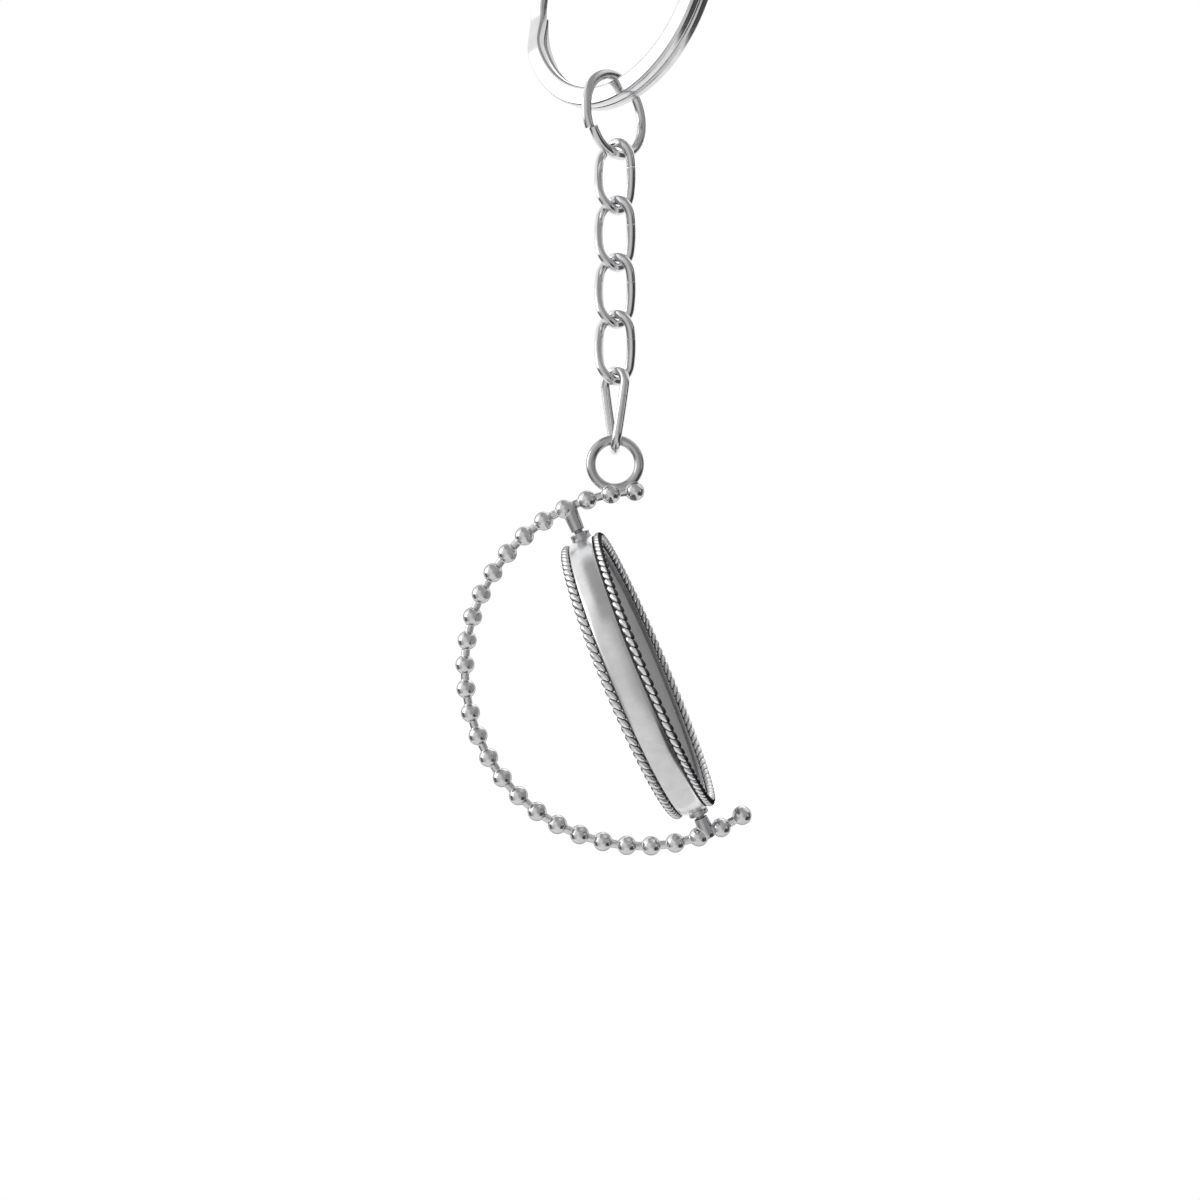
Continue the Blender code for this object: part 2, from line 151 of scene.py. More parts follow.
class KeychainWireSizes(bpy.types.PropertyGroup):
    """Sizes of the split ring, the connector and the chain."""

    ring_diameter: length("Ring diameter", 0.0254, "Outer diameter of the split ring")
    ring_depth: length("Ring depth", 0.00195, "Depth of the split ring's wire, from inner to outer edge")
    ring_turn: length("Turn width", 0.00105, "Width of one turn of the split ring")
    ring_gap: length("Turn gap", 0.00006, "Gap between the split ring's two turns")
    ring_round: length("Ring rounding", 0.00034, "Rounding of the split ring's edges")
    ring_heading: angle("Ring heading", -44, "Turn of the split ring's plane about the vertical")
    ring_jog: angle("Jog span", 24, "Arc over which the wire crosses from one turn to the other")
    ring_jog_place: angle("Jog place", 191, "Place of the crossing on the ring")
    ring_reach: angle("End reach", 10, "Reach of the wire's thin end past the crossing's middle")
    ring_end: angle("End gap", 10, "Arc between the crossing and the wire's blunt end")
    connector_diameter: length("Connector diameter", 0.0088, "Outer diameter of the jump ring")
    connector_wire: length("Connector wire", 0.0010, "Diameter of the jump ring's wire")
    connector_heading: angle("Connector heading", 45, "Turn of the jump ring's plane about the vertical")
    connector_cut: angle("Cut place", 212, "Place of the cut in the jump ring")
    connector_cut_gap: length("Cut gap", 0.00006, "Width of the cut in the jump ring")
    connector_cut_offset: length("Cut offset", 0.00045, "How far the cut ends are out of line")
    link_width: length("Link width", 0.0042, "Outer width of a chain link")
    link_wire: length("Link wire", 0.00095, "Diameter of the chain's wire")
    link_seam: length("Link seam", 0.00001, "Gap where a link's ends meet")
    link_heading: angle("Link heading", -45, "Turn of each link's upper bend about the vertical")
    link_twist: angle("Link twist", 90, "Twist of a chain link from its top to its bottom")
    last_twist: angle("Pendant link twist", -45, "Twist of the last link")
    wire_sides: IntProperty(name="Wire sides", description="Points round a wire", default=24, min=8)


class KeychainPendantSizes(bpy.types.PropertyGroup):
    """Sizes of the crescent frame, the pivots and the disc."""

    loop_diameter: length("Loop diameter", 0.0058, "Outer diameter of the hanging loop")
    loop_wire: length("Loop wire", 0.00096, "Thickness of the hanging loop")
    loop_place: angle("Loop place", 97.6, "Place of the hanging loop on the arc")
    arc_radius: length("Arc radius", 0.01774, "Radius of the arc through the beads' middles")
    first_bead: angle("First bead", 92.4, "Place of the first bead on the arc")
    last_bead: angle("Last bead", 304.2, "Place of the last bead on the arc")
    bead: length("Bead", 0.0019, "Diameter of a bead")
    neck: length("Neck", 0.00084, "Diameter of the neck between two beads")
    bead_count: IntProperty(name="Beads", description="Beads along the arc", default=28, min=2)
    boss_root: length("Boss root", 0.0016, "Diameter of a frame boss at the arc")
    boss_tip: length("Boss tip", 0.00135, "Diameter of a frame boss at its tip")
    pin: length("Pin", 0.0009, "Diameter of a pivot pin")
    pin_play: length("Pin play", 0.00006, "Radial clearance round a pivot pin")
    pin_shown: length("Pin shown", 0.00030, "Length of pin between the two bosses")
    pin_seat: length("Pin seat", 0.00075, "Depth of the hole in a frame boss")
    disc_boss: length("Disc boss", 0.0020, "Diameter of the rim's flanged boss")
    disc_boss_height: length("Disc boss height", 0.0006, "Height of the rim's boss over its band")
    band: length("Band", 0.0294, "Diameter of the disc's smooth band")
    band_width: length("Band width", 0.00244, "Width of the smooth band")
    band_crown: length("Band crown", 0.00016, "Bulge of the band across its width")
    tray: length("Tray", 0.0256, "Diameter of the tray that seats an insert")
    lip: length("Lip", 0.00092, "Width of the lip round the tray")
    rim_width: length("Rim width", 0.0029, "Width of the rim over both lips")
    web: length("Web", 0.0006, "Thickness of the wall between the trays")
    rope: length("Rope", 0.00088, "Thickness of the rope border")
    rope_lay: length("Rope lay", 0.00090, "Distance from one lobe of the rope to the next")
    rope_slant: angle("Rope slant", 42, "Lean of the lobes from the disc's own axis")
    rope_valley: FloatProperty(
        name="Rope valley", description="Thickness of the rope between two lobes, as a share",
        default=0.54, min=0, max=1, subtype="FACTOR"
    )
    insert: length("Insert", 0.0251, "Diameter of an insert")
    insert_thickness: length("Insert thickness", 0.0005, "Thickness of an insert")
    seat_gap: length("Seat gap", 0.00005, "Gap between pieces that lie on each other")
    pad_thickness: length("Pad thickness", 0.00015, "Thickness of the glue pad")


class KeychainFinishes(bpy.types.PropertyGroup):
    """Colours of the finishes."""

    ring: colour("Split ring", (0.70, 0.70, 0.71), "Bright nickel plating on the split ring")
    wire: colour("Plated wire", (0.70, 0.70, 0.71), "Nickel plating on the connector and the links")
    # The casting's metal in a darker tone, on the loop, the bosses and the collars
    fitting: colour("Fittings", (0.56, 0.56, 0.57), "Darker plating on the loop, the bosses and the collars")
    casting: colour("Plated casting", (0.80, 0.80, 0.81), "Plating on the beads")
    rope: colour("Rope", (1.0, 1.0, 1.0), "Plating on the rope borders")
    # Painted shade: the colour of the rope between its strands and on their flanks
    recess: colour("Recess", (0.09, 0.09, 0.095), "Darker plating in the hollows")
    band: colour("Band", (0.80, 0.80, 0.81), "Satin plating on the disc's band")
    # Also painted as shade on the rim's corner under each rope
    tray: colour("Tray", (0.34, 0.34, 0.35), "Duller plating inside the trays")
    # Bare steel, darkened as painted shade for the narrow gap between each frame boss and its disc collar, where
    # the pin shows
    pin: colour("Pin", (0.28, 0.28, 0.29), "Bare steel of the pins")
    insert: colour("Insert", (0.48, 0.48, 0.485), "Bare aluminium of the inserts")
    glue: colour("Glue", (0.80, 0.79, 0.74), "Glue pad")
    floor: colour("Floor", (0.96, 0.96, 0.96), "Pale floor")


def upright(heading):
    """Axes of a flat piece that stands on edge: X along the heading, Y up, Z out of its face."""
    along = Vector((math.cos(heading), math.sin(heading), 0))
    return Matrix((along, UP, along.cross(UP))).transposed()


def polar(radius, turn):
    """A point at a distance and a turn from +X in the XY plane."""
    return Vector((radius * math.cos(turn), radius * math.sin(turn), 0))


def placed(axes, origin):
    """The matrix that puts a piece's own frame at the origin given, along the axes given."""
    return Matrix.Translation(origin) @ axes.to_4x4()


def aimed(direction, origin):
    """The matrix that puts a piece's own frame at the origin given, with its Z in the direction given."""
    return placed(UP.rotation_difference(direction).to_matrix(), origin)


def skin(rings, closed, wrap=True):
    """A surface over rings of points, with a UV map: U round the ring from 0 to 1, V along it in metres.

    A closed skin runs back to its first ring, and an open one gets two caps. Without wrap a ring stays open.
    """
    bm = bmesh.new()
    uv = bm.loops.layers.uv.new("along")
    loops = [[bm.verts.new(point) for point in ring] for ring in rings]
    count = len(rings[0])
    run = [0.0]
    for near, far in zip(rings, rings[1:] + rings[:1]):
        run.append(run[-1] + (Vector(far[0]) - Vector(near[0])).length)
    last = len(rings) if closed else len(rings) - 1
    for k in range(last):
        near, far = loops[k], loops[(k + 1) % len(loops)]
        for i in range(count if wrap else count - 1):
            j = (i + 1) % count
            face = bm.faces.new((near[i], near[j], far[j], far[i]))
            corners = ((i, k), (i + 1, k), (i + 1, k + 1), (i, k + 1))
            for loop, (around, along) in zip(face.loops, corners):
                loop[uv].uv = (around / count, run[along])
    if not closed and wrap:
        bm.faces.new(loops[0])
        bm.faces.new(loops[-1])
    return bm


def sweep(points, radii, sides, closed=False):
    """Rings of a round wire through the points. Its frame turns as little as the path allows."""
    count = len(points)
    rings = []
    side = None
    previous = None
    for k, place in enumerate(points):
        if closed:
            tangent = points[(k + 1) % count] - points[k - 1]
        else:
            tangent = points[min(k + 1, count - 1)] - points[max(k - 1, 0)]
        tangent.normalize()
        if side is None:
            side = tangent.orthogonal().normalized()
        else:
            side = previous.rotation_difference(tangent) @ side
        previous = tangent
        other = tangent.cross(side)
        ring = []
        for corner in range(sides):
            turn = math.tau * corner / sides
            ring.append(place + radii[k] * (side * math.cos(turn) + other * math.sin(turn)))
        rings.append(ring)
    return rings


def lathe(profile, steps):
    """A solid of revolution about Z from points of (radius, height).

    A profile that starts on the axis gets a pole at each end. Any other is a closed section round a hole.
    """
    inner = [point for point in profile if point[0] > 0]
    rings = [[(radius * math.cos(t), radius * math.sin(t), height) for radius, height in inner]
             for t in (math.tau * k / steps for k in range(steps))]
    bm = skin(rings, closed=True, wrap=profile[0][0] > 0)
    if profile[0][0] == 0:
        verts = list(bm.verts)
        count = len(inner)
        for end, place in ((0, profile[0]), (count - 1, profile[-1])):
            pole = bm.verts.new((0, 0, place[1]))
            rim = [verts[count * k + end] for k in range(steps)]
            for near, far in zip(rim, rim[1:] + rim[:1]):
                bm.faces.new((near, far, pole))
    return bm


def arc(centre, radius, start, end, steps):
    """Points of (across, up) along a round corner, angles in degrees."""
    points = []
    for k in range(steps + 1):
        turn = math.radians(start + (end - start) * k / steps)
        points.append((centre[0] + radius * math.cos(turn), centre[1] + radius * math.sin(turn)))
    return points


def to_mesh(name, bm):
    """A mesh from bmesh data, which is freed."""
    mesh = bpy.data.meshes.new(name)
    bm.to_mesh(mesh)
    bm.free()
    return mesh


def add_object(name, data):
    """A new object in the scene."""
    obj = bpy.data.objects.new(name, data)
    bpy.context.scene.collection.objects.link(obj)
    return obj


def piece(name, bm, matrix, body, material, sharp=40):
    """An object from bmesh data, with its material, that rides on a body of the frame."""
    bmesh.ops.recalc_face_normals(bm, faces=bm.faces)
    mesh = to_mesh(name, bm)
    mesh.transform(matrix)
    mesh.shade_smooth()
    mesh.set_sharp_from_angle(angle=math.radians(sharp))
    mesh.materials.append(material)
    obj = add_object(name, mesh)
    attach(obj, body)
    return obj


def merge(target, bm, matrix):
    """Adds one bmesh to another, moved by the matrix, and frees it."""
    bmesh.ops.transform(bm, matrix=matrix, verts=bm.verts)
    mesh = to_mesh("part", bm)
    target.from_mesh(mesh)
    bpy.data.meshes.remove(mesh)


def cast(bm, voxel, rounds):
    """Melts overlapping shells into the one smooth skin of a casting, as bmesh data.

    The remesher takes no voxel under 0.1 mm where the unit is the metre, so the work is done in millimetres.
    """
    bmesh.ops.scale(bm, vec=(1 / TO_METRES,) * 3, verts=bm.verts)
    obj = add_object("cast", to_mesh("cast", bm))
    remesh = obj.modifiers.new("Remesh", "REMESH")
    remesh.mode = "VOXEL"
    remesh.voxel_size = voxel / TO_METRES
    smooth = obj.modifiers.new("Smooth", "SMOOTH")
    smooth.iterations = rounds
    graph = bpy.context.evaluated_depsgraph_get()
    melted = bpy.data.meshes.new_from_object(obj.evaluated_get(graph))
    bpy.data.objects.remove(obj)
    result = bmesh.new()
    result.from_mesh(melted)
    bpy.data.meshes.remove(melted)
    bmesh.ops.scale(result, vec=(TO_METRES,) * 3, verts=result.verts)
    return result


class Nodes:
    """A short way to add and link shader nodes."""

    def __init__(self, tree):
        self.tree = tree

    def add(self, kind, inputs=(), **settings):
        """A node with its settings, and with its inputs linked or set."""
        node = self.tree.nodes.new(kind)
        for key, value in settings.items():
            setattr(node, key, value)
        for key, value in dict(inputs).items():
            if isinstance(value, bpy.types.NodeSocket):
                self.tree.links.new(value, node.inputs[key])
            else:
                node.inputs[key].default_value = value
        return node

    def math(self, operation, first, second=0.0):
        return self.add("ShaderNodeMath", {0: first, 1: second}, operation=operation).outputs[0]

    def remap(self, value, low, high, to_low, to_high, smooth=False):
        kind = "SMOOTHSTEP" if smooth else "LINEAR"
        inputs = {"Value": value, "From Min": low, "From Max": high, "To Min": to_low, "To Max": to_high}
        return self.add("ShaderNodeMapRange", inputs, interpolation_type=kind).outputs["Result"]

    def rise(self, value, edge):
        """0 before the edge and 1 past it, with a soft step over it."""
        return self.remap(value, *edge, 0, 1, smooth=True)

    def fall(self, value, edge):
        """1 before the edge and 0 past it, with a soft step over it."""
        return self.remap(value, *edge, 1, 0, smooth=True)

    def noise(self, vector, scale, detail=3.0):
        inputs = {"Vector": vector, "Scale": scale, "Detail": detail}
        return self.add("ShaderNodeTexNoise", inputs).outputs["Fac"]

    def towards(self, direction, goal):
        """How much a direction points to a goal: 1 when it does."""
        node = self.add("ShaderNodeVectorMath", {0: direction, 1: goal}, operation="DOT_PRODUCT")
        return node.outputs["Value"]

    def level(self, first, second, amount):
        """A brightness between two, each a socket or a number."""
        return self.add("ShaderNodeMix", {2: first, 3: second, 0: amount}, data_type="FLOAT").outputs[0]

    def mix(self, amount, first, second):
        """A mix of two colours, each a socket or three numbers, by the amount that a socket gives."""
        inputs = {0: amount}
        for key, value in ((6, first), (7, second)):
            inputs[key] = value if isinstance(value, bpy.types.NodeSocket) else (*value, 1)
        return self.add("ShaderNodeMix", inputs, data_type="RGBA").outputs[2]

    def bump(self, height, strength, depth):
        """A normal bent by a height, whose full range is as deep as given, in metres."""
        inputs = {"Height": height, "Strength": strength, "Distance": depth}
        return self.add("ShaderNodeBump", inputs).outputs["Normal"]

    def link(self, socket, goal):
        """Links an output to an input."""
        self.tree.links.new(socket, goal)


def shade(tint, amount):
    """A colour scaled in brightness."""
    return tuple(channel * amount for channel in tint)


def new_material(name):
    """A material that holds a Principled shader, with the helper for its nodes."""
    material = bpy.data.materials.new(name)
    material.use_nodes = True
    return material, Nodes(material.node_tree), material.node_tree.nodes["Principled BSDF"]


def metal(name, tint, rough, marks, mark_depth=0.000003, spread=0.10, blotch=0.06, glance=1.0, groove=None):
    """Plated metal: faint blotches in its colour and gloss, fine marks, and painted shade in grooves.

    rough is the least roughness, to which the haze adds spread. marks stretches the fine marks over the UV
    map, whose V runs along a wire in metres. blotch is the share by which the colour varies, and glance dims
    the mirror at low angles. The last argument is the colour of the painted shade in the grooves and on the
    flanks, which the piece's attribute of the same name marks.
    """
    material, nodes, shader = new_material(name)
    place = nodes.add("ShaderNodeTexCoord")
    spots = nodes.remap(nodes.noise(place.outputs["Object"], BLOTCH_SCALE, detail=4.0), *BLOTCH_RANGE, 0, 1)
    tone = nodes.mix(spots, shade(tint, 1 - blotch), shade(tint, 1 + blotch / 2))
    if groove:
        # Painted shade: the colour turns to the shade colour where the piece's attribute marks a groove or a flank
        depth = nodes.add("ShaderNodeAttribute", attribute_name="groove").outputs["Fac"]
        tone = nodes.mix(nodes.rise(depth, GROOVE_SHADE_EDGE), tone, groove)
    nodes.link(tone, shader.inputs["Base Color"])
    shader.inputs["Metallic"].default_value = 1.0
    shader.inputs["Specular Tint"].default_value = (glance, glance, glance, 1)
    haze = nodes.noise(place.outputs["Object"], HAZE_SCALE, detail=2.0)
    nodes.link(nodes.remap(haze, *HAZE_RANGE, rough, rough + spread), shader.inputs["Roughness"])
    stretched = nodes.add("ShaderNodeMapping", {"Vector": place.outputs["UV"], "Scale": marks})
    lines = nodes.noise(stretched.outputs["Vector"], scale=1.0, detail=2.0)
    nodes.link(nodes.bump(lines, strength=1.0, depth=mark_depth), shader.inputs["Normal"])
    return material


def cloudy_material(name, tint, scale, least, rough):
    """A matt material with soft clouds in its colour, given with the helper for its nodes and its clouds.

    scale is the clouds' repeats to the metre, and least is the darkest cloud's brightness as a share.
    """
    material, nodes, shader = new_material(name)
    clouds = nodes.noise(nodes.add("ShaderNodeTexCoord").outputs["Object"], scale)
    nodes.link(nodes.mix(clouds, shade(tint, least), tint), shader.inputs["Base Color"])
    shader.inputs["Roughness"].default_value = rough
    return material, nodes, clouds


def glue_material(name, tint):
    """Thin dried glue: matt, cloudy and slightly uneven."""
    material, nodes, clouds = cloudy_material(name, tint, scale=700.0, least=0.8, rough=0.7)
    shader = material.node_tree.nodes["Principled BSDF"]
    nodes.link(nodes.bump(clouds, strength=0.6, depth=0.00003), shader.inputs["Normal"])
    return material


def wire_material(name, tint):
    """Nickel-plated wire with fine marks along it from drawing, under a hard clear lacquer."""
    material = metal(name, tint, rough=0.14, marks=(24.0, 500.0, 1.0))
    shader = material.node_tree.nodes["Principled BSDF"]
    shader.inputs["Coat Weight"].default_value = 1.0
    shader.inputs["Coat Roughness"].default_value = 0.08
    shader.inputs["Coat IOR"].default_value = 1.9
    return material


def cast_material(name, tint, rough, glance=CAST_GLANCE, groove=None):
    """Bright plated casting, slightly uneven, with painted shade in its grooves where a colour for it is given."""
    return metal(name, tint, rough, marks=(30.0, 900.0, 1.0), glance=glance, groove=groove)


def fitting_material(name, tint):
    """The casting's metal in a darker tone, for the loop, the bosses and the collars."""
    return cast_material(name, tint, rough=0.16)


def rounded_section(depth, width, corner, steps):
    """Points of (out, across) round the section of flat spring wire."""
    points = []
    for quarter in range(4):
        out = (depth - corner) * (1 if quarter in (0, 3) else -1)
        across = (width - corner) * (1 if quarter in (0, 1) else -1)
        points += arc((out, across), corner, 90 * quarter, 90 * quarter + 90, steps)
    return points


def make_split_ring(sizes, material):
    """Two turns of spring wire side by side, with one crossing.

    The first end is ground thin to lie beside the crossing.
    """
    inner = sizes.ring_diameter / 2 - sizes.ring_depth
    centre_line = sizes.ring_diameter / 2 - sizes.ring_depth / 2
    width, gap, jog = sizes.ring_turn, sizes.ring_gap, sizes.ring_jog
    side = (width + gap) / 2
    section = rounded_section(sizes.ring_depth / 2, width / 2, sizes.ring_round, steps=5)
    spread = 2 * math.tau + sizes.ring_reach - jog / 2 - sizes.ring_end
    steps = 700
    bevel_shares = (0.94, 0.98)
    rings = []
    for step in range(steps + 1):
        turn = spread * step / steps - sizes.ring_reach
        crossing = max(-1 / 2, min(1 / 2, (turn - math.tau) / jog))
        shift = side * math.sin(math.pi * crossing)
        start = min(1 / 2, turn / jog)
        thin = (side * (1 + math.sin(math.pi * start)) - gap * (1 / 2 + start)) / width
        shift += math.copysign(width / 2 * (1 - thin), shift)
        place = polar(1, turn + sizes.ring_jog_place)
        end = min(step, steps - step)
        swell = bevel_shares[end] if end < len(bevel_shares) else 1
        rings.append([place * (centre_line + out * swell) + UP * (across * thin * swell + shift)
                      for out, across in section])
    axes = upright(sizes.ring_heading)
    obj = piece("split_ring_turns", skin(rings, closed=False), placed(axes, Vector((0, 0, -inner))),
                "key_ring", material, sharp=50)
    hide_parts("split_ring")


def cut_wire(points, thick, sides, bevel):
    """A round wire through the points, whose cut ends are slightly rounded."""
    first, last = points[0], points[-1]
    lead = (points[1] - first).normalized() * bevel
    tail = (points[-2] - last).normalized() * bevel
    places = [first, first + lead / 2, first + lead] + points[1:-1] + [last + tail, last + tail / 2, last]
    bevel_shares = [0.98, 0.995]
    shares = bevel_shares + [1] * len(points) + bevel_shares[::-1]
    return skin(sweep(places, [thick / 2 * share for share in shares], sides), closed=False)


def make_connector(sizes, material):
    """The jump ring, cut through, with its ends slightly out of line."""
    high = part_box("connector_ring")[1]
    centre = Vector((0, 0, high.z - sizes.connector_diameter / 2))
    radius = (sizes.connector_diameter - sizes.connector_wire) / 2
    gap = sizes.connector_cut_gap / radius
    points = []
    steps = 120
    for step in range(steps + 1):
        part = step / steps
        place = polar(radius, sizes.connector_cut + gap / 2 + (math.tau - gap) * part)
        points.append(place + UP * sizes.connector_cut_offset / 2 * (1 - 2 * part) ** CUT_POWER)
    bm = cut_wire(points, sizes.connector_wire, sizes.wire_sides, bevel=sizes.connector_wire / 8)
    obj = piece("connector_wire", bm, placed(upright(sizes.connector_heading), centre),
                "connector", material, sharp=50)
    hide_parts("connector_ring")


def link_outline(sizes, height):
    """Points of (offset, drop) round a link's centre line, from its seam round to it."""
    half = (sizes.link_width - sizes.link_wire) / 2
    reach = height - sizes.link_wire
    side = reach - 2 * half
    bends, runs = 24, 16
    first_half = [(half, half + side * k / runs) for k in range(runs)]
    for k in range(bends + 1):
        turn = polar(half, -math.pi * k / bends)
        first_half.append((turn.x, half + side - turn.y))
    outline = first_half + [(-offset, reach - drop) for offset, drop in first_half[1:-1]]
    seam = runs // 4
    cut, gap = outline[seam][1], sizes.link_seam / 2
    return [(half, cut + gap)] + outline[seam + 1:] + outline[:seam] + [(half, cut - gap)]


def make_links(sizes, material):
    """The chain's twisted links and the longer pendant link."""
    names = [f"chain_link_{k}" for k in range(1, 5)] + ["pendant_link"]
    for index, node in enumerate(names, start=1):
        low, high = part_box(node)
        height = high.z - low.z
        twist = sizes.last_twist if node == "pendant_link" else sizes.link_twist
        path = []
        for offset, drop in link_outline(sizes, height):
            heading = sizes.link_heading + twist * drop / (height - sizes.link_wire)
            path.append(polar(offset, heading) + UP * (high.z - sizes.link_wire / 2 - drop))
        bm = cut_wire(path, sizes.link_wire, sizes.wire_sides, bevel=sizes.link_wire / 10)
        obj = piece(f"{node}_wire", bm, Matrix.Identity(4), f"link_{index}", material,
                    sharp=50)
        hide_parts(node)


def pivot_frame():
    """The disc's middle, the direction up its pivot axis and the direction out of its front face."""
    joint = JOINTS["disc_spin"]
    return Vector(joint["pos_m"]), Vector(joint["axis"]).normalized(), Vector(DISC_FACE).normalized()


def arc_centre(sizes):
    """The middles of the crescent's hanging loop and of its arc of beads, which is found from it."""
    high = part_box("crescent_frame")[1]
    loop = Vector((0, 0, high.z - sizes.loop_diameter / 2))
    standing = upright(0)
    return loop, loop - standing @ polar(sizes.arc_radius + sizes.loop_diameter / 2, sizes.loop_place)


def torus(radius, thick, steps, sides):
    """A round ring of wire that lies in the XY plane."""
    points = [polar(radius, math.tau * k / steps) for k in range(steps)]
    return skin(sweep(points, [thick / 2] * steps, sides, closed=True), closed=True)


def boss_reach(sizes):
    """Distance from the disc's middle to the face of its bosses and to the tips of the frame's bosses."""
    face = sizes.band / 2 + sizes.disc_boss_height
    return face, face + sizes.pin_shown


def frame_boss(sizes, tip_at, root_at):
    """A tapered boss along +Z with a blind hole for the pin in its tip, which is its lower end."""
    tip, root = sizes.boss_tip / 2, sizes.boss_root / 2
    hole = sizes.pin / 2 + sizes.pin_play
    seat = tip_at + sizes.pin_seat
    shoulder, crown = (root * 0.8, root_at + root * 0.5), (0, root_at + root * 0.7)
    profile = [(0, seat), (hole, seat), (hole, tip_at), (tip, tip_at), (root, root_at), shoulder, crown]
    return lathe(profile, steps=40)


def bead_turns(sizes):
    """Places of the beads on the arc, at one pitch."""
    span, gaps = sizes.last_bead - sizes.first_bead, sizes.bead_count - 1
    return [sizes.first_bead + span * bead / gaps for bead in range(sizes.bead_count)]


def melted_crescent(sizes, turns, beads, loop, centre):
    """Beads and necks on an arc, a hanging loop and two pivot bosses, melted together."""
    standing = upright(0)
    whole = bmesh.new()
    for turn, after, bead in zip(turns, turns[1:] + [None], beads):
        ball = bmesh.new()
        bmesh.ops.create_uvsphere(ball, u_segments=40, v_segments=24, radius=sizes.bead / 2)
        merge(whole, ball, Matrix.Translation(bead))
        if after is not None:
            ends = [polar(sizes.arc_radius, place) for place in (turn, (turn + after) / 2, after)]
            neck = skin(sweep(ends, [sizes.neck / 2] * len(ends), sides=20), closed=False)
            merge(whole, neck, placed(standing, centre))
    hoop = torus((sizes.loop_diameter - sizes.loop_wire) / 2, sizes.loop_wire, steps=96, sides=24)
    merge(whole, hoop, placed(standing, loop))
    disc_centre, up, _ = pivot_frame()
    tip_at = boss_reach(sizes)[1]
    for axis in (up, -up):
        offset = disc_centre - centre
        along = offset.dot(axis)
        root_at = -along + math.sqrt(along**2 - offset.length_squared + sizes.arc_radius**2)
        merge(whole, frame_boss(sizes, tip_at, root_at), aimed(axis, disc_centre))
    return cast(whole, voxel=0.00005, rounds=10)


def dress_fittings(obj, material, sizes, beads, loop):
    """Gives the casting's loop and bosses, clear of the beads, the fittings' darker tone."""
    obj.data.materials.append(material)
    hoop_line = (sizes.loop_diameter - sizes.loop_wire) / 2
    disc_centre, up, _ = pivot_frame()
    for face in obj.data.polygons:
        place = face.center - loop
        off_line = math.hypot(math.hypot(place.x, place.z) - hoop_line, place.y)
        reach = face.center - disc_centre
        off_axis = (reach - up * reach.dot(up)).length
        on_loop = off_line < sizes.loop_wire * FITTING_SKIN_SHARE
        on_boss = off_axis < sizes.boss_root * FITTING_SKIN_SHARE
        clear = min((face.center - bead).length for bead in beads) > sizes.bead * BEAD_SKIN_SHARE
        if clear and (on_loop or on_boss):
            face.material_index = 1


def make_crescent(sizes, material, fitting):
    """The cast crescent of beads, with its hanging loop and two pivot bosses."""
    loop, centre = arc_centre(sizes)
    turns = bead_turns(sizes)
    beads = [centre + upright(0) @ polar(sizes.arc_radius, turn) for turn in turns]
    obj = piece("crescent_casting", melted_crescent(sizes, turns, beads, loop, centre), Matrix.Identity(4),
                "frame", material, sharp=80)
    dress_fittings(obj, fitting, sizes, beads, loop)
    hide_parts("crescent_frame")


def make_pins(sizes, material):
    """Two plain turned pins with chamfered ends."""
    up = pivot_frame()[1]
    radius, chamfer = sizes.pin / 2, sizes.pin / 8
    lean = up.angle(UP)
    for word, way in (("upper", 1), ("lower", -1)):
        node = f"{word}_pivot_pin"
        low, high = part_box(node)
        half = ((high - low).z - sizes.pin * math.sin(lean)) / math.cos(lean) / 2
        lower = [(0, -half), (radius - chamfer, -half), (radius, chamfer - half)]
        profile = lower + [(r, -h) for r, h in reversed(lower)]
        obj = piece(f"{word}_pin_turned", lathe(profile, steps=32), aimed(up * way, (low + high) / 2),
                    "frame", material)
        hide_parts(node)


def disc_place():
    """The matrix that puts a piece at the disc's middle: X up the pivot axis, Z out of the front face."""
    centre, up, face = pivot_frame()
    return placed(Matrix((up, face.cross(up), face)).transposed(), centre)


def rim_profile(sizes):
    """Half of the rim's section as (radius, height), from the front tray's middle to the band's middle."""
    tray, lip = sizes.tray / 2, sizes.tray / 2 + sizes.lip
    rim, web, half_band = sizes.rim_width / 2, sizes.web / 2, sizes.band_width / 2
    edge, corner, crest = LIP_EDGE, BAND_CORNER, sizes.band / 2
    upper = [(0, web)]
    upper += arc((tray - corner, web + corner), corner, -90, 0, steps=5)
    upper += arc((tray + edge, rim - edge), edge, 180, 90, steps=6)
    upper += arc((lip - edge, rim - edge), edge, 90, 0, steps=6)
    upper += [(lip, half_band)]
    upper += arc((crest - sizes.band_crown - corner, half_band - corner), corner, 90, 20, steps=4)
    steps = 10
    for k in range(1, steps + 1):
        height = (half_band - corner) * (1 - k / steps)
        upper.append((crest - sizes.band_crown * (height / half_band) ** 2, height))
    return upper


def make_rim(sizes, band_material, tray_and_shade_material, collar_material):
    """The cast rim with its two trays and crowned band, and a flanged boss at each end of its axis. Its corner
    under each rope is painted with the trays' darker metal as shade.
    """
    upper = rim_profile(sizes)
    lower = [(radius, -height) for radius, height in reversed(upper[:-1])]
    matrix = disc_place()
    obj = piece("rim_casting", lathe(upper + lower, steps=320), matrix, "disc",
                band_material, sharp=50)
    obj.data.materials.append(tray_and_shade_material)
    tray_end = (sizes.tray + sizes.lip / 2) / 2
    seat_start = sizes.tray / 2 + sizes.lip * 3 / 4
    inverse = matrix.inverted()
    for face in obj.data.polygons:
        place = inverse @ face.center
        across = math.hypot(place.x, place.y)
        in_tray = across < tray_end and abs(place.z) < sizes.rim_width / 2
        # Painted shade: the rim's corner under each rope takes the trays' darker metal
        shade_under_rope = across > seat_start and abs(place.z) > (sizes.band_width - BAND_CORNER) / 2
        if in_tray or shade_under_rope:
            face.material_index = 1
    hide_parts("disc_rim")
    for word, way in (("upper", 1), ("lower", -1)):
        make_disc_boss(sizes, collar_material, word, way)


